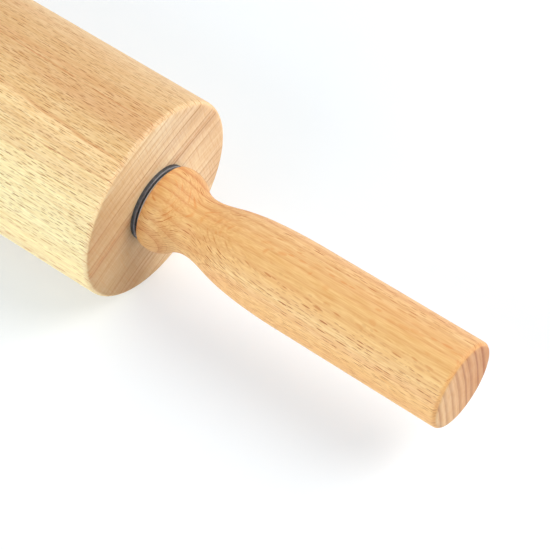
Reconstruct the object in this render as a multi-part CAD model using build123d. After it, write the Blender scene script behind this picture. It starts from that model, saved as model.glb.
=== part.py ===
from build123d import *
import os

# Rolling pin of turned beech: a barrel that spins on ball bearings between two fixed handles.
# Millimetres. +X runs along the pin towards the handle in view, +Z is up.
# The origin lies on the table under the middle of the barrel.

os.makedirs("parts", exist_ok=True)

# Barrel
barrel_radius = 32.5
barrel_length = 250.0
barrel_rim_rounding = 1.2

# Axle, a plain steel rod from handle to handle
axle_radius = 4.0
axle_chamfer = 0.6
axle_reach_in_handle = 42.0

# Tube on the axle that holds the two inner rings apart
spacer_wall = 1.6
spacer_running_gap = 0.05
bore_gap_round_spacer = 1.4

# Ball bearing of stock size, 8 x 22 x 7
bearing_radius = 11.0
bearing_width = 7.0
ball_radius = 1.984
ball_count = 7
groove_running_gap = 0.08
inner_ring_land_radius = 6.05
outer_ring_land_radius = 8.95
ring_chamfer = 0.3

# Dust shields in the mouths of the outer ring
shield_seat_radius = 9.6
shield_inset = 0.35
shield_thickness = 0.4
shield_running_gap = 0.25

# Cage that keeps the balls apart
cage_radial_thickness = 1.0
cage_half_width = 2.4
pocket_running_gap = 0.12

# Steel cup that carries the bearing in the barrel, with the flange seen on the barrel's face
cup_wall = 1.0
cup_floor = 1.0
cup_floor_lip = 1.3
flange_radius = 12.3
flange_thickness = 1.2
flange_rounding = 0.35
bearing_recess = 0.4

# Stepped washer between the inner ring and the handle
washer_hub_radius = 6.0
washer_hub_thickness = 0.8
washer_disc_radius = 11.5
washer_disc_thickness = 0.7

# Handle: back face, collar, waist, swell, grip and rounded end
handle_length = 106.2
collar_edge_radius = 13.1
collar_edge_rounding = 0.8
collar_crown_radius = 13.4
collar_crown_at = 3.6
collar_crease_radius = 12.1
collar_crease_at = 7.5
waist_radius = 9.3
waist_at = 14.0
grip_start_radius = 13.6
grip_start_at = 50.0
grip_end_radius = 13.8
handle_end_rounding = 1.0
swell_along_shares = (0.225, 0.45, 0.72)
swell_rise_shares = (0.34, 0.72, 0.93)

# Bore of the handle beyond its insert
handle_bore_gap = 0.1
handle_bore_end_gap = 2.0

# Threaded brass insert pressed into the handle
insert_length = 20.0
insert_core_radius = 5.3
insert_ridge_radius = 6.1
insert_ridge_pitch = 2.4
insert_ridge_count = 7
insert_collar_radius = 7.6
insert_collar_thickness = 1.2
ridge_foot_share = 0.25
ridge_rise_share = 0.5
ridge_fall_share = 0.25

# One overrun serves all the cuts
overrun = 5.0

# Places along the axis, counted from the barrel's end face outwards
bearing_front = flange_thickness - bearing_recess
bearing_back = bearing_front - bearing_width
bearing_middle = bearing_front - bearing_width / 2
cup_back = bearing_back - cup_floor
washer_disc_back = bearing_front + washer_hub_thickness
handle_back = washer_disc_back + washer_disc_thickness
cup_radius = bearing_radius + cup_wall
ball_pitch_radius = (bearing_radius + axle_radius) / 2
spacer_bore_radius = axle_radius + spacer_running_gap
spacer_radius = spacer_bore_radius + spacer_wall
half_barrel = barrel_length / 2
spacer_half_length = half_barrel + bearing_back
axle_half_length = half_barrel + handle_back + axle_reach_in_handle


# Turning helpers: outlines are points of distance along the axis and radius
def turned(outline):
    """Revolve a closed outline about the axis."""
    return revolve(make_face(outline), Axis.X, 360)


def turned_points(*points):
    """Revolve a closed outline of straight lines about the axis."""
    return turned(Polyline(*points, close=True))


def tube(start, end, inner, outer):
    """A plain ring or tube from start to end along the axis."""
    return turned_points((start, inner), (end, inner), (end, outer), (start, outer))


def rod(start, end, radius):
    """A plain round bar from start to end along the axis."""
    return tube(start, end, 0, radius)


def other_end(shape):
    """The same shape turned end for end."""
    return Rot(0, 0, 180) * shape


def rims(solid, radius):
    """The circular edges of a turned piece that have this radius."""
    circles = solid.edges().filter_by(GeomType.CIRCLE)
    return [edge for edge in circles if abs(edge.radius - radius) < radius / 1000]


# Barrel: bored right through for the spacer tube, and wider at each end for the bearing cup
def make_barrel():
    solid = rod(-half_barrel, half_barrel, barrel_radius)
    solid = fillet(rims(solid, barrel_radius), barrel_rim_rounding)
    bore_radius = spacer_radius + bore_gap_round_spacer
    solid -= rod(-half_barrel - overrun, half_barrel + overrun, bore_radius)
    seat = rod(half_barrel + cup_back, half_barrel + overrun, cup_radius)
    solid -= seat
    solid -= other_end(seat)
    return solid


def make_axle():
    solid = rod(-axle_half_length, axle_half_length, axle_radius)
    return chamfer(rims(solid, axle_radius), axle_chamfer)


def make_spacer_tube():
    return tube(-spacer_half_length, spacer_half_length, spacer_bore_radius, spacer_radius)


# Bearing cup: a drawn steel sleeve with a floor lip inside the barrel and a flange on its face
def make_bearing_cup():
    sleeve = tube(cup_back, flange_thickness, bearing_radius, cup_radius)
    floor = tube(cup_back, bearing_back, bearing_radius - cup_floor_lip, cup_radius)
    flange = tube(0, flange_thickness, bearing_radius, flange_radius)
    solid = sleeve + floor + flange
    front_rim = [edge for edge in rims(solid, flange_radius) if edge.center().X > flange_thickness / 2]
    return fillet(front_rim, flange_rounding)


def groove_torus():
    """The round groove in both rings, a little wider than the balls."""
    section = Pos(0, ball_pitch_radius) * Circle(ball_radius + groove_running_gap)
    return revolve(section, Axis.X, 360)


def make_outer_ring():
    half_width = bearing_width / 2
    solid = tube(-half_width, half_width, outer_ring_land_radius, bearing_radius)
    solid -= groove_torus()
    mouth_depth = shield_inset + shield_thickness
    mouth = rod(half_width - mouth_depth, half_width + overrun, shield_seat_radius)
    solid -= mouth
    solid -= other_end(mouth)
    return chamfer(rims(solid, bearing_radius), ring_chamfer)


def make_inner_ring():
    half_width = bearing_width / 2
    solid = tube(-half_width, half_width, axle_radius, inner_ring_land_radius)
    solid -= groove_torus()
    return chamfer(rims(solid, axle_radius), ring_chamfer)


# Both shields of one bearing share a node as two separate solids
def make_shields():
    outer_face = bearing_width / 2 - shield_inset
    inner_face = outer_face - shield_thickness
    hole_radius = inner_ring_land_radius + shield_running_gap
    shield = tube(inner_face, outer_face, hole_radius, shield_seat_radius)
    return Compound([shield, other_end(shield)])


def ball_places():
    """The balls stand evenly round the pitch circle."""
    step = 360 / ball_count
    return [Rot(step * number, 0, 0) * Pos(0, ball_pitch_radius, 0) for number in range(ball_count)]


def make_balls():
    return Compound([place * Sphere(ball_radius) for place in ball_places()])


def make_cage():
    inner = ball_pitch_radius - cage_radial_thickness / 2
    outer = ball_pitch_radius + cage_radial_thickness / 2
    solid = tube(-cage_half_width, cage_half_width, inner, outer)
    for place in ball_places():
        solid -= place * Sphere(ball_radius + pocket_running_gap)
    return solid


# Stepped washer: its hub bears on the inner ring, its disc covers the cup and backs the handle
def make_washer():
    hub = tube(bearing_front, washer_disc_back, axle_radius, washer_hub_radius)
    disc = tube(washer_disc_back, handle_back, axle_radius, washer_disc_radius)
    return hub + disc


def insert_envelope():
    """The insert's outside as a full bar: collar, core and round ridges that bite the wood."""
    solid = rod(0, insert_length, insert_core_radius)
    solid += rod(0, insert_collar_thickness, insert_collar_radius)
    for number in range(insert_ridge_count):
        foot = insert_collar_thickness + insert_ridge_pitch * (number + ridge_foot_share)
        crest = foot + insert_ridge_pitch * ridge_rise_share
        heel = crest + insert_ridge_pitch * ridge_fall_share
        solid += turned_points(
            (foot, 0),
            (foot, insert_core_radius),
            (crest, insert_ridge_radius),
            (heel, insert_core_radius),
            (heel, 0),
        )
    return solid


def make_insert():
    return insert_envelope() - rod(-overrun, insert_length + overrun, axle_radius)


def handle_outline():
    """Closed outline of the solid handle, counted from its back face."""
    back_edge = (0, collar_edge_radius - collar_edge_rounding)
    edge_top = (collar_edge_rounding, collar_edge_radius)
    crown = (collar_crown_at, collar_crown_radius)
    crease = (collar_crease_at, collar_crease_radius)
    waist = (waist_at, waist_radius)
    grip_start = (grip_start_at, grip_start_radius)
    grip_end = (handle_length - handle_end_rounding, grip_end_radius)
    end_edge = (handle_length, grip_end_radius - handle_end_rounding)

    swell_points = [waist]
    for along, rise in zip(swell_along_shares, swell_rise_shares):
        swell_x = waist_at + along * (grip_start_at - waist_at)
        swell_r = waist_radius + rise * (grip_start_radius - waist_radius)
        swell_points.append((swell_x, swell_r))
    swell_points.append(grip_start)
    grip_direction = (grip_end[0] - grip_start[0], grip_end[1] - grip_start[1])

    outline = Line((0, 0), back_edge)
    outline += TangentArc(back_edge, edge_top, tangent=(0, 1))
    outline += ThreePointArc(edge_top, crown, crease)
    outline += TangentArc(waist, crease, tangent=(-1, 0))
    outline += Spline(*swell_points, tangents=[(1, 0), grip_direction])
    outline += Line(grip_start, grip_end)
    outline += TangentArc(grip_end, end_edge, tangent=grip_direction)
    outline += Line(end_edge, (handle_length, 0))
    outline += Line((handle_length, 0), (0, 0))
    return outline


# Handle: turned beech with a blind bore, ridged where the insert is pressed in
def make_handle():
    solid = turned(handle_outline())
    solid -= insert_envelope()
    bore_depth = axle_reach_in_handle + handle_bore_end_gap
    solid -= rod(-overrun, bore_depth, axle_radius + handle_bore_gap)
    return solid


def at_end(shape, along, side):
    """Set a piece made for the right end at its distance from the barrel's face, on either end."""
    placed = Pos(half_barrel + along, 0, 0) * shape
    if side == "left":
        placed = other_end(placed)
    return placed


def write(name, shape):
    """Lift the piece to the axle's height over the table and save it under its own name."""
    lifted = Pos(0, 0, barrel_radius) * shape
    lifted.label = name
    export_step(lifted, "parts/" + name + ".step")
    print(name, "volume", round(lifted.volume, 1))


write("barrel", make_barrel())
write("axle", make_axle())
write("spacer_tube", make_spacer_tube())
for side in ("right", "left"):
    write("handle_" + side, at_end(make_handle(), handle_back, side))
    write("threaded_insert_" + side, at_end(make_insert(), handle_back, side))
    write("dust_washer_" + side, at_end(make_washer(), 0, side))
    write("bearing_cup_" + side, at_end(make_bearing_cup(), 0, side))
    write("bearing_outer_ring_" + side, at_end(make_outer_ring(), bearing_middle, side))
    write("bearing_inner_ring_" + side, at_end(make_inner_ring(), bearing_middle, side))
    write("bearing_shields_" + side, at_end(make_shields(), bearing_middle, side))
    write("bearing_balls_" + side, at_end(make_balls(), bearing_middle, side))
    write("ball_cage_" + side, at_end(make_cage(), bearing_middle, side))

cage_turn_per_barrel_turn = (1 + ball_radius / ball_pitch_radius) / 2
print("cage turns per barrel turn", round(cage_turn_per_barrel_turn, 5))
print("overall length", 2 * (half_barrel + handle_back + handle_length))
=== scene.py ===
# %% [markdown]
# A turned beech rolling pin lies on a white table. A wide barrel turns on ball bearings between two
# handles that a hand holds still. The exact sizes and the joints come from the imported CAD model, so
# this script only dresses it: it turns finer wooden pieces over the CAD ones, gives every piece the
# finish of its real material, and sets up the table, the light and the camera.
# The CAD model is loaded first, because everything else is measured on it.

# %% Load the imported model
import math

import bpy
from mathutils import Euler, Matrix, Vector


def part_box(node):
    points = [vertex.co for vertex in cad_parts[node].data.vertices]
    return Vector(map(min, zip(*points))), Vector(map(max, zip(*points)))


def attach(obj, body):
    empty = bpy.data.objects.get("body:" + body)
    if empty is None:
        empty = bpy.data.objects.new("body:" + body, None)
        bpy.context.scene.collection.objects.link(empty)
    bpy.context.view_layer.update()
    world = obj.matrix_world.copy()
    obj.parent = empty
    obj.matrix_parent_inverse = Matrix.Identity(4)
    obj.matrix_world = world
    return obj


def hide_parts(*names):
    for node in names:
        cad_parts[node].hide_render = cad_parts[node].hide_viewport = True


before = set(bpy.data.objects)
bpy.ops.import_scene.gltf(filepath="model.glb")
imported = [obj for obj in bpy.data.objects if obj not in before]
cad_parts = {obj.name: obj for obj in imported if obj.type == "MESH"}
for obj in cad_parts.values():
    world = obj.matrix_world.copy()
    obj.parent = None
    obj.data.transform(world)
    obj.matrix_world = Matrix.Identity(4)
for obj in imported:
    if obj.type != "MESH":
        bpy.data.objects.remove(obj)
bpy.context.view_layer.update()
MM = 0.001

# %% [markdown]
# All pieces are round about one line, the axle, which lies level at half the barrel's height.
# Its height is read from the CAD barrel, and every turned piece below uses it.

# %% Find the axle line
barrel_low, barrel_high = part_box("barrel")
AXLE_Z = (barrel_low.z + barrel_high.z) / 2
BARREL_RADIUS = (barrel_high.y - barrel_low.y) / 2
BARREL_END = barrel_high.x
print(f"axle {AXLE_Z / MM:.2f} mm above the table, barrel {2 * BARREL_RADIUS / MM:.1f} mm across")


def outer_radius(node):
    low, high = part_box(node)
    return (high.y - low.y) / 2


# %% [markdown]
# A wood turner shapes these pieces on a lathe: the outline of the piece is a curve, and the blank
# turns against it. Blender can do the same. A circle of points is the first station of the outline,
# and it is extruded along the axle and scaled to the radius of each next station. That keeps every
# ring of points square to the axle, so the surface is as true as turned work.
# The stations are a list of (place along the axle, radius of the piece there), in metres.

# %% A lathe that extrudes one ring of points from station to station
TURNING_STEPS = 160
MERGE_DISTANCE = 0.01 * MM


def deselect_all():
    if bpy.context.object and bpy.context.object.mode != "OBJECT":
        bpy.ops.object.mode_set(mode="OBJECT")
    bpy.ops.object.select_all(action="DESELECT")


def turn_on_lathe(name, stations, closed):
    """stations are (x, radius) in metres; closed joins the last ring to the first."""
    deselect_all()
    first_x, first_r = stations[0]
    bpy.ops.mesh.primitive_circle_add(vertices=TURNING_STEPS, radius=first_r, fill_type="NOTHING",
                                      location=(first_x, 0, AXLE_Z), rotation=(0, math.pi / 2, 0))
    piece = bpy.context.object
    piece.name = name
    piece.data.name = name
    bpy.ops.object.transform_apply(location=True, rotation=True, scale=True)
    bpy.ops.object.mode_set(mode="EDIT")
    bpy.ops.mesh.select_all(action="SELECT")
    if not closed:
        bpy.ops.mesh.edge_face_add()
    x, r = first_x, first_r
    for next_x, next_r in stations[1:]:
        bpy.ops.mesh.extrude_edges_move(TRANSFORM_OT_translate={"value": (next_x - x, 0, 0)})
        scale = next_r / r
        bpy.ops.transform.resize(value=(1, scale, scale), center_override=(next_x, 0, AXLE_Z))
        x, r = next_x, next_r
    if not closed:
        bpy.ops.mesh.edge_face_add()
    bpy.ops.mesh.select_all(action="SELECT")
    bpy.ops.mesh.remove_doubles(threshold=MERGE_DISTANCE)
    bpy.ops.mesh.normals_make_consistent(inside=False)
    bpy.ops.object.mode_set(mode="OBJECT")
    print(f"{name}: {len(stations)} stations, {len(piece.data.polygons)} faces")
    return piece


def rounded_corner(centre_x, centre_r, size, start, end, count):
    """Stations along an arc about (centre_x, centre_r), from start to end degrees."""
    arc = []
    for i in range(count + 1):
        angle = math.radians(start + (end - start) * i / count)
        arc.append((centre_x + size * math.cos(angle), centre_r + size * math.sin(angle)))
    return arc


def between(start, end, count):
    """Evenly spaced stations from just after start up to and with end."""
    return [tuple(a + (b - a) * i / count for a, b in zip(start, end)) for i in range(1, count + 1)]


# %% [markdown]
# The barrel is a beech cylinder with a softly rounded rim. A long bore lets the axle through, and a
# wider, shallow seat at each end takes the steel cup of a bearing. One closed outline makes it all:
# it runs along the bore, out through the seat, over the end face and the rim, along the outside and
# back in at the other end. The long outside is cut into short rings, because sanding leaves it a few
# hundredths of a millimetre uneven and the surface needs points to carry that.

# %% Turn the barrel
RIM_ROUNDING = 1.8 * MM
RIM_STEPS = 6
FACE_RINGS, OUTSIDE_RINGS, BORE_RINGS = 8, 60, 10
BORE_RADIUS = 7.05 * MM
CUP_WALL = 1.0 * MM
SEAT_RADIUS = outer_radius("bearing_outer_ring_right") + CUP_WALL
SEAT_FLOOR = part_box("bearing_cup_right")[0].x


def barrel_outline():
    end, r = BARREL_END, BARREL_RADIUS
    seat = [(SEAT_FLOOR, BORE_RADIUS), (SEAT_FLOOR, SEAT_RADIUS), (end, SEAT_RADIUS)]
    face = between((end, SEAT_RADIUS), (end, r - RIM_ROUNDING), FACE_RINGS)
    rim = rounded_corner(end - RIM_ROUNDING, r - RIM_ROUNDING, RIM_ROUNDING, 0, 90, RIM_STEPS)[1:]
    right_half = seat + face + rim
    left_half = [(-x, radius) for x, radius in reversed(right_half)]
    outside = between(right_half[-1], left_half[0], OUTSIDE_RINGS)[:-1]
    bore = between(left_half[-1], right_half[0], BORE_RINGS)
    return right_half + outside + left_half + bore


turned_barrel = turn_on_lathe("turned_barrel", barrel_outline(), closed=True)

# %% [markdown]
# A handle is one piece of beech: a rounded collar that stands against the barrel, a slim neck for
# the fingers, and a grip that swells gently and ends in a flat face. Its outline is already exact on
# the CAD handle, so it is measured there: each ring of CAD points gives one station. Only the outer
# edge is softer here, as sandpaper leaves it. The blind hole is turned too: as wide as the collar of
# the brass insert for as far as the insert reaches, and then a narrow tail for the end of the axle.

# %% Measure the outline of a handle on the CAD piece
def measured_outline(node, smallest_radius):
    """(x, radius) of each ring of the node's outer points, from the barrel outwards."""
    rings = {}
    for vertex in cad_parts[node].data.vertices:
        radius = math.hypot(vertex.co.y, vertex.co.z - AXLE_Z)
        place = round(vertex.co.x / MM, 3)
        rings[place] = max(radius, rings.get(place, 0))
    return [(x * MM, r) for x, r in sorted(rings.items()) if r > smallest_radius]


THINNEST_NECK = 8.2 * MM
handle_outside = measured_outline("handle_right", THINNEST_NECK)
print(len(handle_outside), "stations from", round(handle_outside[0][0] / MM, 2),
      "to", round(handle_outside[-1][0] / MM, 2), "mm")

# %% [markdown]
# Both handles are the same piece of turning. So one is made, and the other is a copy of it, turned
# half a turn on the table, with a mesh of its own. The end face comes in to a small ring, which one
# flat face closes.

# %% Turn one handle and copy it for the other end
FIT_GAP = 0.1 * MM
HOLE_TAIL = 2.0 * MM
END_GRAIN_HUB = 2.0 * MM
END_FACE_RINGS = 6
SANDED_EDGE = 1.6 * MM


def handle_outline():
    insert_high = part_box("threaded_insert_right")[1]
    axle_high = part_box("axle")[1]
    back = handle_outside[0][0]
    handle_end = handle_outside[-1][0]
    grip = [(x, r) for x, r in handle_outside if x < handle_end - SANDED_EDGE]
    edge = rounded_corner(handle_end - SANDED_EDGE, grip[-1][1] - SANDED_EDGE, SANDED_EDGE,
                          90, 0, RIM_STEPS)
    outside = grip + edge
    tail_r = outer_radius("axle") + FIT_GAP
    mouth_r = outer_radius("threaded_insert_right") + FIT_GAP
    hole = [(axle_high.x + HOLE_TAIL, tail_r), (insert_high.x + FIT_GAP, tail_r),
            (insert_high.x + FIT_GAP, mouth_r), (back, mouth_r)]
    end_face = between(outside[-1], (handle_end, END_GRAIN_HUB), END_FACE_RINGS)
    return hole + outside + end_face


def copy_turned_round(piece, name):
    """The same piece for the other end, turned half a turn about the barrel's middle."""
    deselect_all()
    piece.select_set(True)
    bpy.context.view_layer.objects.active = piece
    bpy.ops.object.duplicate(linked=False)
    copy = bpy.context.object
    copy.name = name
    copy.data.name = name
    bpy.ops.transform.rotate(value=math.pi, orient_axis="Z", center_override=(0, 0, AXLE_Z))
    bpy.ops.object.transform_apply(location=True, rotation=True, scale=True)
    print(f"{name}: from x {min(v.co.x for v in copy.data.vertices) / MM:.1f} mm")
    return copy


turned_handles = {"right": turn_on_lathe("turned_handle_right", handle_outline(), closed=False)}
turned_handles["left"] = copy_turned_round(turned_handles["right"], "turned_handle_left")

# %% [markdown]
# Bare wood is never quite true: it is sanded by hand while it turns, and the soft early wood wears
# down a little more than the hard late wood. A displacement of a few hundredths of a millimetre,
# always inwards so that the piece stays inside its CAD size, breaks up the highlights just enough.
# Flat faces and rounded edges meet softly, so only edges sharper than 30 degrees stay sharp.

# %% Give the turned pieces their sanded surface
SANDING_DEPTH = 0.06 * MM
SHARP_ANGLE = math.radians(30)
BARREL_RIPPLE = 14 * MM
HANDLE_RIPPLE = 9 * MM


def sand(piece, ripple):
    ripple_texture = bpy.data.textures.new(piece.name + "_sanding", type="CLOUDS")
    ripple_texture.noise_scale = ripple
    sanding = piece.modifiers.new("sanding", "DISPLACE")
    sanding.texture = ripple_texture
    sanding.texture_coords = "GLOBAL"
    sanding.strength = SANDING_DEPTH
    sanding.mid_level = 1.0
    deselect_all()
    piece.select_set(True)
    bpy.context.view_layer.objects.active = piece
    bpy.ops.object.modifier_apply(modifier=sanding.name)
    bpy.ops.object.shade_smooth_by_angle(angle=SHARP_ANGLE)
    widest = 2 * max(v.co.z - AXLE_Z for v in piece.data.vertices)
    print(f"{piece.name}: sanded, widest {widest / MM:.2f} mm")


sand(turned_barrel, BARREL_RIPPLE)
for handle in turned_handles.values():
    sand(handle, HANDLE_RIPPLE)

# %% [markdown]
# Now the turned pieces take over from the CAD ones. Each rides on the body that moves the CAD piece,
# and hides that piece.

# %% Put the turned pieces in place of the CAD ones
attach(turned_barrel, "rolling_barrel")
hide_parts("barrel")
for side, handle in turned_handles.items():
    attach(handle, "handles_and_axle")
    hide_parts("handle_" + side)
print("replaced: barrel,", ", ".join("handle_" + side for side in turned_handles))

# %% [markdown]
# A finish is a small machine of nodes. One helper turns a colour as a painter names it, in sRGB hex,
# to the linear numbers that light needs, and one adds a node with its settings and wires. The others
# are steps that every finish needs again and again, so that the finishes below read like recipes.
# A Mix node has one set of sockets for numbers and one for colours, so their places are named.

# %% Colour and node helpers
SHARE, LOW, HIGH, UNDER, OVER = 0, 2, 3, 6, 7
MIXED_NUMBER, MIXED_COLOUR = 0, 2


def linear(hex_colour):
    channels = [int(hex_colour[i:i + 2], 16) / 255 for i in (1, 3, 5)]
    return [c / 12.92 if c <= 0.04045 else ((c + 0.055) / 1.055) ** 2.4 for c in channels] + [1.0]


def add(tree, kind, inputs=None, **settings):
    """Adds a shader node. An input is a value or the socket that feeds it."""
    made = tree.nodes.new("ShaderNode" + kind)
    for key, value in settings.items():
        setattr(made, key, value)
    for key, value in (inputs or {}).items():
        if isinstance(value, bpy.types.NodeSocket):
            tree.links.new(value, made.inputs[key])
        else:
            made.inputs[key].default_value = value
    return made


def maths(tree, operation, *values):
    """Arithmetic on numbers."""
    return add(tree, "Math", dict(enumerate(values)), operation=operation).outputs[0]


def vector_maths(tree, operation, *values):
    """Arithmetic on places and directions. A length or a dot product gives a number."""
    made = add(tree, "VectorMath", dict(enumerate(values)), operation=operation)
    gives_number = operation in ("LENGTH", "DOT_PRODUCT")
    return made.outputs["Value" if gives_number else "Vector"]


def rescale(tree, value, low, high, to_low=0.0, to_high=1.0, smooth=False):
    """Takes a number from one range to another, and stops it at both ends."""
    made = add(tree, "MapRange", {"Value": value, "From Min": low, "From Max": high,
                                  "To Min": to_low, "To Max": to_high},
               interpolation_type="SMOOTHSTEP" if smooth else "LINEAR")
    return made.outputs[0]


def blend_numbers(tree, share, low, high):
    return add(tree, "Mix", {SHARE: share, LOW: low, HIGH: high}).outputs[MIXED_NUMBER]


def lay_over(tree, share, under, over):
    """Lays one colour over another, so that share of it covers what is under it."""
    made = add(tree, "Mix", {SHARE: share, UNDER: under, OVER: over}, data_type="RGBA")
    return made.outputs[MIXED_COLOUR]


def stretched_noise(tree, place, per_mm, detail):
    """Soft random tones, about per_mm of them to a millimetre along each axis."""
    stretched = vector_maths(tree, "MULTIPLY", place, per_mm)
    return add(tree, "TexNoise", {"Vector": stretched, "Scale": 1.0, "Detail": detail}).outputs[0]


def new_material(name):
    material = bpy.data.materials.new(name)
    material.use_nodes = True
    material.node_tree.nodes.clear()
    return material, material.node_tree


def dress(piece, material):
    piece.data.materials.clear()
    piece.data.materials.append(material)


print("late wood of beech in linear light:", [round(c, 3) for c in linear("#D9985C")])

# %% [markdown]
# Beech is easy to know. It is a pale, pinkish tan wood with narrow growth rings that hardly show, and
# its mark is the rays: thin sheets of cells that run from the heart of the tree to the bark. Where the
# surface follows the rings, the rays are cut across and show as short dark dashes, all along the
# grain. Where the surface runs from heart to bark they lie in it and show as wide, warm flecks, and on
# the end grain they are fine lines across the rings. One solid block of wood gives all three, so the
# pattern is made in space, in millimetres, and the turned surface only cuts through it.
# The block's own axes are x along the grain, y along the rings and z from the heart to the bark.
# The piece is leant over in its block, and the block's grain bends a little, as every tree does.

# %% Place a piece in its block
def block_of_beech(tree, look):
    """The place in the block in mm, and how squarely the surface faces the bark and the end."""
    place = add(tree, "TexCoord")
    lean = Euler([math.radians(angle) for angle in look["lean"]])
    axle_in_block = lean.to_matrix() @ Vector((0, 0, AXLE_Z / MM))
    heart = Vector((0, 0, look["heart_below"])) - axle_in_block
    block = add(tree, "Mapping", {"Vector": place.outputs["Object"], "Location": heart,
                                  "Rotation": lean, "Scale": (1 / MM, 1 / MM, 1 / MM)})
    long_view = vector_maths(tree, "MULTIPLY", block.outputs[0], look["bend_stretch"])
    bend = add(tree, "TexNoise", {"Vector": long_view, "Scale": 1.0, "Detail": 4.0})
    centred = vector_maths(tree, "SUBTRACT", bend.outputs["Color"], (0.5, 0.5, 0.5))
    bent = vector_maths(tree, "MULTIPLY_ADD", centred, look["bend"], block.outputs[0])
    bark_direction = lean.to_matrix().inverted() @ Vector((0, 0, 1))
    towards_bark = vector_maths(tree, "DOT_PRODUCT", place.outputs["Normal"], bark_direction)
    facing = add(tree, "SeparateXYZ", {0: place.outputs["Normal"]})
    return bent, maths(tree, "ABSOLUTE", towards_bark), maths(tree, "ABSOLUTE", facing.outputs["X"])


# %% [markdown]
# A tree grows outwards from its heart, one ring a year. So a place is told along the grain, around
# the heart and out from it, and a ring is a tone that comes back with each ring's width. Early wood
# is pale and late wood is dark, good years are wider than bad ones, and no two rings are equally
# strong.

# %% Growth rings
WEATHER_CHANGES = 0.7
END_GRAIN_FACING = (0.75, 0.98)


def ramp_of_stops(tree, share, stops, interpolation):
    """stops are (place from 0 to 1, colour), the first at 0 and the last at 1."""
    made = add(tree, "ValToRGB", {0: share})
    ramp = made.color_ramp
    ramp.interpolation = interpolation
    ramp.elements[0].color = stops[0][1]
    ramp.elements[1].color = stops[-1][1]
    for place, colour in stops[1:-1]:
        ramp.elements.new(place).color = colour
    return made.outputs[0]


def grain_of_beech(tree, look):
    """All that the finish needs to know about a place in the wood, by name. Lengths are in mm."""
    bent, flat_sawn, end_grain = block_of_beech(tree, look)
    parts = add(tree, "SeparateXYZ", {0: bent})
    across = vector_maths(tree, "MULTIPLY", bent, (0, 1, 1))
    from_heart = vector_maths(tree, "LENGTH", across)
    turn = maths(tree, "ARCTAN2", parts.outputs["Y"], parts.outputs["Z"])
    around = maths(tree, "MULTIPLY", turn, look["heart_below"])
    depth = maths(tree, "SUBTRACT", from_heart, look["heart_below"])
    polar = add(tree, "CombineXYZ", {0: parts.outputs["X"], 1: around, 2: depth})

    year = maths(tree, "DIVIDE", depth, look["ring_width"])
    weather = add(tree, "TexNoise", {"W": year, "Scale": WEATHER_CHANGES, "Detail": 1.0},
                  noise_dimensions="1D")
    uneven_year = maths(tree, "MULTIPLY_ADD", weather.outputs[0], look["uneven_years"], year)
    season = maths(tree, "FRACT", uneven_year)
    ring_number = maths(tree, "FLOOR", uneven_year)
    chance = add(tree, "TexWhiteNoise", {"W": ring_number}, noise_dimensions="1D")
    stops = [(position, (tone, tone, tone, 1)) for position, tone in look["season_tones"]]
    late_wood = ramp_of_stops(tree, season, stops, "EASE")
    strength = rescale(tree, chance.outputs["Value"], 0.0, 1.0, look["weak_ring"], 1.0)
    return {
        "bent": bent, "polar": polar.outputs[0],
        "along": parts.outputs["X"], "around": around, "depth": depth,
        "ring": maths(tree, "MULTIPLY", late_wood, strength),
        "flat_sawn": flat_sawn, "end_grain": end_grain,
        "on_end": rescale(tree, end_grain, *END_GRAIN_FACING, smooth=True),
    }


# %% [markdown]
# The colours are laid over each other as they are in the wood. The first is the ground tone of the
# board, which is cream on one side of the barrel and tan on the other, with one sharp step between
# them where the pale sapwood starts. That border wanders and slants, and pinkish streaks run along.
# Towards the far side of the barrel the tan grows paler again: partly the board's own tone and partly
# painted sheen where the surface turns away at a grazing angle. On the handles the grip is paler at
# the front and the back than on top, partly as painted light.
# Tones are given by their place in mm across the board, and blend between the places named.

# %% The ground tone of the board
# The border slants about the place that lies this far along the barrel, in mm.
SLANT_FROM = 60.0
WANDERS_PER_MM = 0.05
STREAKS_PER_MM = (0.012, 0.22, 0.22)
STREAK_RANGE = (0.4, 0.7)


def across_board(tree, grain, look):
    """How far across the board a place lies, in mm."""
    spread = add(tree, "TexNoise", {"Vector": grain["bent"], "Scale": WANDERS_PER_MM, "Detail": 2.0})
    slanting = maths(tree, "MULTIPLY_ADD", grain["along"], look["slant"], grain[look["across"]])
    wandering = maths(tree, "MULTIPLY_ADD", spread.outputs[0], look["wander"], slanting)
    middle = look["wander"] / 2 + look["slant"] * SLANT_FROM
    return maths(tree, "SUBTRACT", wandering, middle)


def tone_ramp(tree, place, tones):
    first, last = tones[0][0], tones[-1][0]
    share = rescale(tree, place, first, last)
    stops = [((distance - first) / (last - first), linear(tone)) for distance, tone in tones]
    return ramp_of_stops(tree, share, stops, "LINEAR")


def ground_tone(tree, grain, look, across):
    sides = tone_ramp(tree, across, look["board_tones_and_painted_light"])
    streaks = stretched_noise(tree, grain["polar"], STREAKS_PER_MM, 3.0)
    share = rescale(tree, streaks, *STREAK_RANGE, 0.0, look["streak_share"], smooth=True)
    return lay_over(tree, share, sides, linear(look["streak_tone"]))


# %% [markdown]
# The end grain drinks more oil than the sides and has tones of its own, and the rounded rim between
# the two is warm. On the barrel's end face the tones also grow darker towards the lower left: partly
# the end grain's own tone and partly painted shade, where the handle's shadow falls and less light
# from above reaches. Which of them a place shows follows from how far its surface faces along the axle.
# On a handle the finish gathers round the collar: the tone shifts there and the rings stand out.

# %% The end grain, the rim and the collar
RIM_FACING = (0.08, 0.6)


def ends_and_rim(tree, grain, look, across, under):
    # On the barrel the end tones carry painted shade: darker towards the lower left of the end face.
    end_tone = tone_ramp(tree, across, look["end_tones_and_painted_shade"])
    on_rim = rescale(tree, grain["end_grain"], *RIM_FACING, 0.0, look["rim_share"], smooth=True)
    with_rim = lay_over(tree, on_rim, under, linear(look["rim"]))
    return lay_over(tree, grain["on_end"], with_rim, end_tone)


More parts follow.
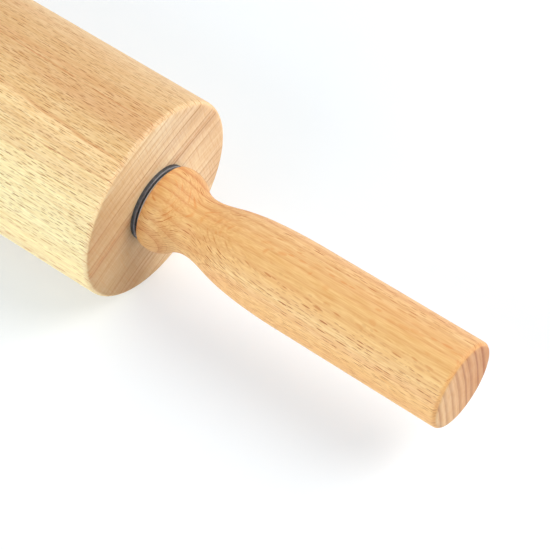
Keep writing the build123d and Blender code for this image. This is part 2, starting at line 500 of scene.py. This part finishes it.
def collar(tree, grain, look, under):
    """Gives the colour, and 1 at the collar that fades to 0 along the waist."""
    from_middle = maths(tree, "ABSOLUTE", grain["along"])
    gathered = rescale(tree, from_middle, look["collar_ends"], look["collar_starts"], smooth=True)
    share = maths(tree, "MULTIPLY", gathered, look["collar_share"])
    return lay_over(tree, share, under, linear(look["collar_tone"])), gathered


# %% [markdown]
# The rings come next. They show more on the end grain than on the sides. Here and there one late ring
# is rich in colour and draws an orange line, and such a line also follows the sapwood's border. The
# lines come and go along the grain, and the border shows only in the outermost wood.

# %% The rings and the orange lines
BREAKS_PER_MM = (0.12, 0.35, 0.1)
BREAK_RANGE = (0.35, 0.6)
FAINTEST_BREAK = 0.25
BORDER_HALF_WIDTH = 0.8
BORDER_SHOWS_FROM, BORDER_SHOWS_FULLY = 27.0, 31.0


def rings_over(tree, grain, look, gathered, under):
    on_side = rescale(tree, gathered, 0.0, 1.0, look["ring_on_side"], look["ring_on_collar"])
    seen = blend_numbers(tree, grain["on_end"], on_side, look["ring_on_end"])
    share = maths(tree, "MULTIPLY", grain["ring"], seen)
    late_tone = lay_over(tree, grain["on_end"], linear(look["late_side"]), linear(look["late_end"]))
    return lay_over(tree, share, under, late_tone)


def soft_line(tree, place, centre, half_width, strength=1.0):
    """strength at the centre, fading to nothing half_width away."""
    offset = maths(tree, "SUBTRACT", place, centre)
    away = maths(tree, "ABSOLUTE", offset)
    return rescale(tree, away, half_width, 0.0, 0.0, strength, smooth=True)


def orange_lines(tree, grain, look, across, under):
    noise = stretched_noise(tree, grain["polar"], BREAKS_PER_MM, 2.0)
    breaks = rescale(tree, noise, *BREAK_RANGE, FAINTEST_BREAK, 1.0)
    border = soft_line(tree, across, look["border_at"], BORDER_HALF_WIDTH, look["border_share"])
    broken_border = maths(tree, "MULTIPLY", border, breaks)
    outer_wood = rescale(tree, grain["depth"], BORDER_SHOWS_FROM, BORDER_SHOWS_FULLY)
    share = maths(tree, "MULTIPLY", broken_border, outer_wood)
    lined = lay_over(tree, share, under, linear(look["line_tone"]))
    for depth, half_width, on_side, on_end in look["strong_lines"]:
        line = soft_line(tree, grain["depth"], depth, half_width)
        seen = blend_numbers(tree, grain["on_end"], on_side, on_end)
        line_seen = maths(tree, "MULTIPLY", line, seen)
        share = maths(tree, "MULTIPLY", line_seen, breaks)
        lined = lay_over(tree, share, lined, linear(look["line_tone"]))
    return lined


# %% [markdown]
# Fibres and vessels are drawn out along the grain. They are finer than a picture can show, so they
# are drawn a few times coarser here. They tint the wood, and don't cover it, so the tint multiplies
# what is under it. On the end grain they are cut through, and show as fine lines and wider stripes.
# A noise texture keeps to the middle of its range, so that part is stretched over the whole.

# %% The fibres
NOISE_RANGE = (0.3, 0.7)


def fibres_over(tree, grain, look, under):
    """Gives the colour, and the fibres of the sides for the gloss and the relief."""
    fibres = stretched_noise(tree, grain["polar"], look["fibre_stretch"], 1.0)
    end_lines = stretched_noise(tree, grain["polar"], look["end_lines"], 1.0)
    end_stripes = stretched_noise(tree, grain["polar"], look["end_stripes"], 1.0)
    end_fibres = blend_numbers(tree, look["stripe_share"], end_lines, end_stripes)
    seen = blend_numbers(tree, grain["on_end"], fibres, end_fibres)
    share = rescale(tree, seen, *NOISE_RANGE)
    tint = lay_over(tree, share, look["fibre_dark"], look["fibre_pale"])
    return vector_maths(tree, "MULTIPLY", under, tint), fibres


# %% [markdown]
# A ray is a thin, lens-shaped sheet. A Voronoi texture cuts the block into cells, each with a point
# of its own, and one sheet lies about each point. Chance makes some larger and some fainter. Large
# rays are up to 5 mm long and 0.35 mm thick, in cells of about 3 by 0.6 mm, and smaller ones fill in
# between them. Real ones are half as thick, and would be lost at this size. A ray is dark where it
# is cut across, and warm where it lies in the surface.

# %% The rays
RAY_SCATTER = 0.85
# The reach is multiplied by one of these or by something between, so 1.5 makes the smallest rays.
SMALLEST_RAYS, LARGEST_RAYS = 1.5, 0.8
RAY_CORE = 0.45
CUT_ACROSS_FACING = (0.15, 0.7)
LARGE_SEED, SMALL_SEED = 0.0, 37.0
FAINT_LARGE, FAINT_SMALL = -0.1, 0.15


def rays(tree, polar, cell, half_size, seed, faintest):
    """1 on a ray, 0 beside it. A cell whose chance is below faintest has none."""
    shifted = vector_maths(tree, "ADD", polar, (seed, seed, seed))
    in_cells = vector_maths(tree, "DIVIDE", shifted, cell)
    nearest = add(tree, "TexVoronoi", {"Vector": in_cells, "Scale": 1.0, "Randomness": RAY_SCATTER})
    chance = add(tree, "SeparateXYZ", {0: nearest.outputs["Color"]})
    offset = vector_maths(tree, "SUBTRACT", in_cells, nearest.outputs["Position"])
    sheet = vector_maths(tree, "MULTIPLY", offset, [c / h for c, h in zip(cell, half_size)])
    reach = vector_maths(tree, "LENGTH", sheet)
    size = rescale(tree, chance.outputs["X"], 0.0, 1.0, SMALLEST_RAYS, LARGEST_RAYS)
    sized = maths(tree, "MULTIPLY", reach, size)
    inside = rescale(tree, sized, RAY_CORE, 1.0, 1.0, 0.0, smooth=True)
    strength = rescale(tree, chance.outputs["Y"], faintest, 1.0)
    return maths(tree, "MULTIPLY", inside, strength)


def rays_over(tree, grain, look, under):
    """Gives the colour, and how much of it is a large ray."""
    cut_across = rescale(tree, grain["flat_sawn"], *CUT_ACROSS_FACING, smooth=True)
    tone = lay_over(tree, cut_across, linear(look["fleck"]), linear(look["dash"]))
    large = rays(tree, grain["polar"], look["ray_cell"], look["ray_half"], LARGE_SEED, FAINT_LARGE)
    small = rays(tree, grain["polar"], look["small_cell"], look["small_half"], SMALL_SEED, FAINT_SMALL)
    small_seen = blend_numbers(tree, grain["on_end"], look["small_strength"], look["small_on_end"])
    small_edge_on = maths(tree, "MULTIPLY", small_seen, cut_across)
    small_share = maths(tree, "MULTIPLY", small, small_edge_on)
    with_small = lay_over(tree, small_share, under, linear(look["dash"]))
    on_side = rescale(tree, cut_across, 0.0, 1.0, look["fleck_strength"], look["dash_strength"])
    seen = blend_numbers(tree, grain["on_end"], on_side, look["end_ray_strength"])
    share = maths(tree, "MULTIPLY", large, seen)
    return lay_over(tree, share, with_small, tone), share


# %% [markdown]
# The surface is bare, closed and matt, with pores too small to see. A ray sits a touch low, a fibre
# stands a touch high, and both take the light softly, so the relief is very shallow.

# %% The finish of turned beech
RAY_SINKS = -0.6
RELIEF_STRENGTH = 0.15
RELIEF_DEPTH = 0.03 * MM
GLOSSY_FIBRE, MATT_FIBRE = -0.05, 0.07
BARE_WOOD_SPECULAR = 0.35


def beech(name, look):
    material, tree = new_material(name)
    grain = grain_of_beech(tree, look)
    across = across_board(tree, grain, look)
    colour = ground_tone(tree, grain, look, across)
    colour = ends_and_rim(tree, grain, look, across, colour)
    colour, gathered = collar(tree, grain, look, colour)
    colour = rings_over(tree, grain, look, gathered, colour)
    colour = orange_lines(tree, grain, look, across, colour)
    colour, fibres = fibres_over(tree, grain, look, colour)
    colour, ray_share = rays_over(tree, grain, look, colour)

    height = maths(tree, "MULTIPLY_ADD", ray_share, RAY_SINKS, fibres)
    relief = add(tree, "Bump", {"Height": height, "Strength": RELIEF_STRENGTH, "Distance": RELIEF_DEPTH})
    roughness = rescale(tree, fibres, *NOISE_RANGE, look["roughness"] + GLOSSY_FIBRE,
                        look["roughness"] + MATT_FIBRE)
    surface = add(tree, "BsdfPrincipled", {"Base Color": colour, "Roughness": roughness,
                                           "Specular IOR Level": BARE_WOOD_SPECULAR,
                                           "Normal": relief.outputs[0]})
    add(tree, "OutputMaterial", {"Surface": surface.outputs[0]})
    print(f"{name}: {len(tree.nodes)} nodes, rings {look['ring_width']} mm wide")
    return material


# %% [markdown]
# The barrel's board was cut with its rings nearly level and tipped a little towards the front, so the
# dashes show best on top. Its rings are almost straight, because the heart of the tree was a good way
# below. Lean is in degrees and lengths are in mm. A strong line is its depth, its half width, and how
# much it shows on the sides and on the ends. The barrel has no collar, so its share is nothing.

# %% Beech for the barrel
BARREL_BEECH = {
    # Where the board lay in the tree.
    "lean": (-17.0, 0.25, 0.35), "heart_below": 260.0,
    "bend_stretch": (0.012, 0.045, 0.045), "bend": (0.0, 2.4, 1.0),
    # Its rings, from the start of a year to its end.
    "ring_width": 2.6, "uneven_years": 1.0, "weak_ring": 0.05,
    "season_tones": [(0, 0.3), (0.12, 0.4), (0.6, 0.25), (0.86, 0.6), (0.95, 1.0), (1, 1.0)],
    "ring_on_side": 0.3, "ring_on_collar": 0.3, "ring_on_end": 0.95,
    "late_side": "#D9985C", "late_end": "#BB8256",
    "strong_lines": [(30.4, 0.12, 0.75, 0.0), (26.5, 0.1, 0.4, 0.0), (28.7, 0.1, 0.35, 0.0),
                     (7.2, 0.55, 0.0, 0.6)],
    "line_tone": "#CB7F45", "border_at": 0.6, "border_share": 0.45,
    # Its tones across the board, on the sides and on the ends.
    "across": "around", "slant": 0.052, "wander": 2.4,
    # The tones that grow paler than the tan towards the far side, past 17 mm, are partly painted sheen.
    "board_tones_and_painted_light": [(-33, "#FFF3C4"), (-27.6, "#FFEEB5"), (-22.2, "#FFF2BC"), (-15.3, "#FFEDB3"),
                    (-7.3, "#FEE6AB"), (0.1, "#F7D39C"), (0.9, "#EECA92"), (9.5, "#E3BD8A"),
                    (17.2, "#E5BF8C"), (23.8, "#EBC897"), (33, "#EFD3A6")],
    # The end tones grow darker towards the lower left of the end face: partly the end grain's own tone,
    # partly painted shade from the handle's shadow.
    "end_tones_and_painted_shade": [(-33, "#CBAC82"), (-14, "#D4B488"), (2, "#F5DBB2"), (14, "#FAE5C0"), (33, "#EECDA4")],
    "streak_tone": "#D9A070", "streak_share": 0.4, "rim": "#FADBB0", "rim_share": 0.45,
    "collar_tone": "#E5A05C", "collar_share": 0.0, "collar_starts": 130.0, "collar_ends": 150.0,
    # Its fibres and rays.
    "fibre_stretch": (0.16, 2.7, 2.7),
    "fibre_dark": (0.94, 0.83, 0.7, 1), "fibre_pale": (1.07, 1.09, 1.12, 1),
    "end_lines": (0.3, 2.0, 0.35), "end_stripes": (0.1, 0.1, 1.1), "stripe_share": 0.65,
    "fleck": "#D28F4B", "dash": "#A35C18",
    "ray_cell": (2.9, 0.62, 9.0), "ray_half": (2.0, 0.14, 7.0),
    "fleck_strength": 0.7, "dash_strength": 0.9, "end_ray_strength": 0.42,
    "small_cell": (1.8, 0.5, 3.5), "small_half": (1.0, 0.11, 1.8),
    "small_strength": 0.6, "small_on_end": 0.15,
    "roughness": 0.55,
}
dress(turned_barrel, beech("turned_beech_barrel", BARREL_BEECH))

# %% [markdown]
# The handles were turned from a warmer, honey-coloured stick whose rings stand upright, so their top
# shows the flecks and their front shows the dashes. The rings are about 3 mm apart. What isn't named
# here is as on the barrel. The stick has no sapwood, so it has no border either.

# %% Beech for the handles
HANDLE_BEECH = {
    **BARREL_BEECH,
    "lean": (81.0, 0.4, -0.6), "heart_below": 120.0,
    "bend_stretch": (0.02, 0.07, 0.07), "bend": (0.0, 0.8, 0.6),
    "ring_width": 3.0, "uneven_years": 0.6, "weak_ring": 0.5,
    "season_tones": [(0, 0.6), (0.04, 0.75), (0.5, 0.0), (0.84, 0.15), (0.94, 0.35), (0.968, 1.0),
                     (1, 1.0)],
    "ring_on_side": 0.4, "ring_on_collar": 0.75, "ring_on_end": 1.0,
    "late_side": "#C46F33", "late_end": "#A65C34",
    "strong_lines": [(-11.5, 0.2, 0.4, 0.3)], "line_tone": "#C9803F", "border_share": 0.0,
    "across": "depth", "slant": 0.0, "wander": 1.5,
    # The grip's front and back tones are partly painted light: paler than its top.
    "board_tones_and_painted_light": [(-14, "#F9C988"), (-12.7, "#FDD094"), (-10.9, "#F8D092"), (-8.4, "#F2C583"),
                    (-5.3, "#EBBC7B"), (-1.9, "#EABC7C"), (1.7, "#E9BB80"), (5.1, "#ECC28A"),
                    (8.2, "#F3C790"), (14, "#F3CDA0")],
    "end_tones_and_painted_shade": [(-14, "#E8C290"), (-5, "#E3B686"), (1, "#D9A575"), (14, "#CF976C")],
    "streak_tone": "#E9AB6B", "streak_share": 0.3, "rim": "#E0A160",
    "collar_tone": "#D8B47A", "collar_share": 0.4, "collar_ends": 162.0,
    "fibre_stretch": (0.16, 2.6, 2.6),
    "end_lines": (0.3, 1.5, 0.5), "end_stripes": (0.1, 0.15, 1.2), "stripe_share": 0.7,
    "fleck": "#DE8C46", "dash": "#B05A16",
    "ray_cell": (3.4, 0.62, 4.0), "ray_half": (2.2, 0.15, 3.0),
    "fleck_strength": 0.55, "dash_strength": 1.0,
}
handle_beech = beech("turned_beech_handle", HANDLE_BEECH)
for handle in turned_handles.values():
    dress(handle, handle_beech)

# %% [markdown]
# The metal pieces mostly hide in the wood, but a turned or drawn surface still tells how each was made.
# The marks are laid out round the axle: rings of fine lines where a tool cut the piece as it turned,
# and long straight ones where a bar was drawn through a die. Zinc plating is dull, cool grey and a
# little cloudy. On the bearing cups it is painted much darker than plating is, as painted shade for
# the narrow gap between barrel and collar where a cup shows, and the cup's face is painted paler, as
# painted light in that gap. Ball steel is polished like a mirror, ground steel is smooth and pale,
# drawn steel is bright along its length, cage steel is pressed from sheet and shows no direction, and
# brass is warm and yellow. Real marks are finer than a picture can show, so these are drawn coarser.

# %% How a metal finish is made
PAINTED_LIGHT_FACING = (0.6, 0.95)
SMOOTHEST_MARK, ROUGHEST_MARK = 0.8, 1.25
MARK_STRENGTH = 0.4


def metal(name, look):
    material, tree = new_material(name)
    place = add(tree, "TexCoord")
    on_axle = add(tree, "Mapping", {"Vector": place.outputs["Object"], "Location": (0, 0, -AXLE_Z / MM),
                                    "Scale": (1 / MM, 1 / MM, 1 / MM)})
    parts = add(tree, "SeparateXYZ", {0: on_axle.outputs[0]})
    across = vector_maths(tree, "MULTIPLY", on_axle.outputs[0], (0, 1, 1))
    radius = vector_maths(tree, "LENGTH", across)
    turn = maths(tree, "ARCTAN2", parts.outputs["Y"], parts.outputs["Z"])
    polar = add(tree, "CombineXYZ", {0: parts.outputs["X"], 1: radius, 2: turn})
    marks = stretched_noise(tree, polar.outputs[0], look["marks_per_mm"], 3.0)
    clouds = add(tree, "TexNoise", {"Vector": on_axle.outputs[0], "Scale": look["clouds_per_mm"],
                                    "Detail": 4.0})
    share = rescale(tree, clouds.outputs[0], *NOISE_RANGE)
    tone = lay_over(tree, share, linear(look["tone"]), linear(look["cloud_tone"]))
    # The face of a bearing cup is painted paler: painted light in the shaded gap beside the collar.
    if "painted_light_face_tone" in look:
        facing = add(tree, "SeparateXYZ", {0: place.outputs["Normal"]})
        along_axle = maths(tree, "ABSOLUTE", facing.outputs["X"])
        painted_light_share = rescale(tree, along_axle, *PAINTED_LIGHT_FACING)
        tone = lay_over(tree, painted_light_share, tone, linear(look["painted_light_face_tone"]))
    roughness = rescale(tree, marks, *NOISE_RANGE, look["roughness"] * SMOOTHEST_MARK,
                        look["roughness"] * ROUGHEST_MARK)
    relief = add(tree, "Bump", {"Height": marks, "Strength": MARK_STRENGTH,
                                "Distance": look["mark_depth"] * MM})
    surface = add(tree, "BsdfPrincipled", {"Base Color": tone, "Metallic": 1.0,
                                           "Roughness": roughness, "Normal": relief.outputs[0]})
    add(tree, "OutputMaterial", {"Surface": surface.outputs[0]})
    print(f"{name}: roughness about {look['roughness']}")
    return material


# %% The metals of the pin
ROUND_MARKS = (4.0, 4.0, 0.3)
LONG_MARKS = (0.08, 1.0, 14.0)
NO_DIRECTION = (1.2, 1.2, 1.2)
METALS = {
    # Painted shade: the cups' zinc is painted darker than plating is, for the shaded gap they sit in,
    # and their face tone is painted light there.
    "zinc_with_painted_shade": {"tone": "#4A4E53", "cloud_tone": "#696E75", "roughness": 0.5,
                               "painted_light_face_tone": "#B8BEC6",
                               "marks_per_mm": ROUND_MARKS, "clouds_per_mm": 0.5, "mark_depth": 0.01},
    "pale_zinc_plated_steel": {"tone": "#B9BDC0", "cloud_tone": "#C6C9CB", "roughness": 0.55,
                               "marks_per_mm": ROUND_MARKS, "clouds_per_mm": 0.5, "mark_depth": 0.01},
    "bright_drawn_steel": {"tone": "#BDBFC1", "cloud_tone": "#C9CACB", "roughness": 0.24,
                           "marks_per_mm": LONG_MARKS, "clouds_per_mm": 0.1, "mark_depth": 0.01},
    "ground_bearing_steel": {"tone": "#C6C6C6", "cloud_tone": "#D0D0CF", "roughness": 0.2,
                             "marks_per_mm": ROUND_MARKS, "clouds_per_mm": 0.3, "mark_depth": 0.004},
    "polished_ball_steel": {"tone": "#DCDCDC", "cloud_tone": "#E4E4E4", "roughness": 0.07,
                            "marks_per_mm": NO_DIRECTION, "clouds_per_mm": 0.6, "mark_depth": 0.001},
    "pressed_cage_steel": {"tone": "#B4B2AD", "cloud_tone": "#C0BEBA", "roughness": 0.34,
                           "marks_per_mm": NO_DIRECTION, "clouds_per_mm": 0.5, "mark_depth": 0.01},
    "turned_brass": {"tone": "#D9BE7F", "cloud_tone": "#E0C88F", "roughness": 0.28,
                     "marks_per_mm": ROUND_MARKS, "clouds_per_mm": 0.3, "mark_depth": 0.01},
}
MADE_OF = {
    "zinc_with_painted_shade": ["bearing_cup"],
    "pale_zinc_plated_steel": ["dust_washer"],
    "ground_bearing_steel": ["bearing_outer_ring", "bearing_inner_ring"],
    "polished_ball_steel": ["bearing_balls"],
    "pressed_cage_steel": ["ball_cage", "bearing_shields"],
    "turned_brass": ["threaded_insert"],
}
metals = {name: metal(name, look) for name, look in METALS.items()}
dress(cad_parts["axle"], metals["bright_drawn_steel"])
dress(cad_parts["spacer_tube"], metals["zinc_with_painted_shade"])
for name, pieces in MADE_OF.items():
    for piece in pieces:
        for side in turned_handles:
            dress(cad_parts[piece + "_" + side], metals[name])
    print(f"{name}: {', '.join(pieces)}")

# %% [markdown]
# The photograph is a shop picture: the pin lies on a white table that is lit until it is paper white.
# More light would bleach the wood too, so the white is painted: a surface can tell a ray that the
# camera sends, or one that a shiny or clear piece sends on, from a ray that carries light about, and
# only the first kinds meet the glow. The table keeps most of its real shadow under it.

# %% Table
TABLE_HALF = 3.0
TABLE_GLOW = 0.25
TABLE_WHITE = (0.9, 0.92, 0.94, 1)
PAPER_WHITE = (0.96, 1.0, 1.03, 1)
PAPER_LIGHT = 1.35


def looked_at(tree):
    """1 for a ray from the camera, straight or by way of a shiny or clear piece. Otherwise 0."""
    ray = add(tree, "LightPath")
    seen = maths(tree, "MAXIMUM", ray.outputs["Is Camera Ray"], ray.outputs["Is Glossy Ray"])
    return maths(tree, "MAXIMUM", seen, ray.outputs["Is Transmission Ray"])


deselect_all()
bpy.ops.mesh.primitive_plane_add(size=2 * TABLE_HALF, location=(0, 0, 0))
table_top = bpy.context.object
table_top.name = "table_top"
table_white, tree = new_material("matt_white_laminate")
glow_share = maths(tree, "MULTIPLY", looked_at(tree), TABLE_GLOW)
laminate = add(tree, "BsdfDiffuse", {"Color": TABLE_WHITE})
paper = add(tree, "Emission", {"Color": PAPER_WHITE, "Strength": PAPER_LIGHT})
table_mix = add(tree, "MixShader", {0: glow_share, 1: laminate.outputs[0], 2: paper.outputs[0]})
add(tree, "OutputMaterial", {"Surface": table_mix.outputs[0]})
table_top.data.materials.append(table_white)
print(f"table {2 * TABLE_HALF} m wide")

# %% [markdown]
# The room beyond the table does the same. It lights the pin with a little cool light, as white walls
# do by day, and it looks plain white to the camera.

# %% World
WORLD_LIGHT = 0.355
COOL_ROOM = (0.76, 0.92, 1.06, 1)
PLAIN_WHITE = (1, 1, 1, 1)
world = bpy.data.worlds.new("white_studio")
bpy.context.scene.world = world
world.use_nodes = True
tree = world.node_tree
tree.nodes.clear()
room = add(tree, "Background", {"Color": COOL_ROOM, "Strength": WORLD_LIGHT})
paper = add(tree, "Background", {"Color": PLAIN_WHITE, "Strength": 1.0})
world_mix = add(tree, "MixShader", {0: looked_at(tree), 1: room.outputs[0], 2: paper.outputs[0]})
add(tree, "OutputWorld", {"Surface": world_mix.outputs[0]})
print(f"room light {WORLD_LIGHT}")

# %% [markdown]
# Three large soft lamps stand round the pin, all aimed at the middle of what the camera sees. One
# hangs high behind the handle and lays a pale shadow towards the viewer. A second, on the far side,
# softens that shadow and lights the back of the barrel. A broad, cooler one at the front left keeps
# the near side of the barrel bright. Directions point from the pin to the lamp.

# %% Lamps
LIT_MIDDLE = Vector((0.17, 0, 0.03))


def soft_lamp(name, direction, distance, size, power, colour):
    light = bpy.data.lights.new(name, "AREA")
    light.shape = "DISK"
    light.size = size
    light.energy = power
    light.color = colour
    lamp = bpy.data.objects.new(name, light)
    bpy.context.scene.collection.objects.link(lamp)
    to_lamp = Vector(direction).normalized()
    lamp.location = LIT_MIDDLE + to_lamp * distance
    lamp.rotation_euler = to_lamp.to_track_quat("Z", "Y").to_euler()
    print(f"{name}: {power} W, {size} m wide, {distance} m away")


soft_lamp("window_behind", direction=(0.53, 0.31, 0.79), distance=1.6, size=1.0, power=15.0,
          colour=(1.0, 0.95, 0.88))
soft_lamp("window_far_side", direction=(0.42, 0.74, 0.52), distance=1.6, size=1.2, power=9.5,
          colour=(1.0, 0.96, 0.91))
soft_lamp("soft_box_front", direction=(-0.30, -0.88, 0.42), distance=1.8, size=1.5, power=20.0,
          colour=(0.93, 0.98, 1.04))

# %% [markdown]
# The camera stands above and to the right of the pin. Its place and lens were worked out from the
# photograph's own outlines, the ellipse of the barrel's rim and the taper of the two pieces.
# It is built from the way it looks: the opposite way is its own z, level to the right is its x, and
# what is square to both is its y.

# %% Camera
CAMERA_PLACE = (0.430661, -0.346040, 0.610517)
VIEW_DIRECTION = (-0.362669, 0.478076, -0.799946)
LENS = 165.69
SENSOR = 36.0
NEAREST_SEEN = 0.01
camera_data = bpy.data.cameras.new("camera")
camera_data.lens = LENS
camera_data.sensor_width = SENSOR
camera_data.clip_start = NEAREST_SEEN
camera = bpy.data.objects.new("camera", camera_data)
bpy.context.scene.collection.objects.link(camera)
backwards = -Vector(VIEW_DIRECTION).normalized()
rightwards = Vector((0, 0, 1)).cross(backwards).normalized()
upwards = backwards.cross(rightwards)
turned_to_pin = Matrix((rightwards, upwards, backwards)).transposed().to_4x4()
camera.matrix_world = Matrix.Translation(CAMERA_PLACE) @ turned_to_pin
bpy.context.scene.camera = camera
bpy.context.scene.view_settings.view_transform = "Standard"
print(f"camera {(Vector(CAMERA_PLACE) - LIT_MIDDLE).length:.2f} m away, lens {LENS} mm")
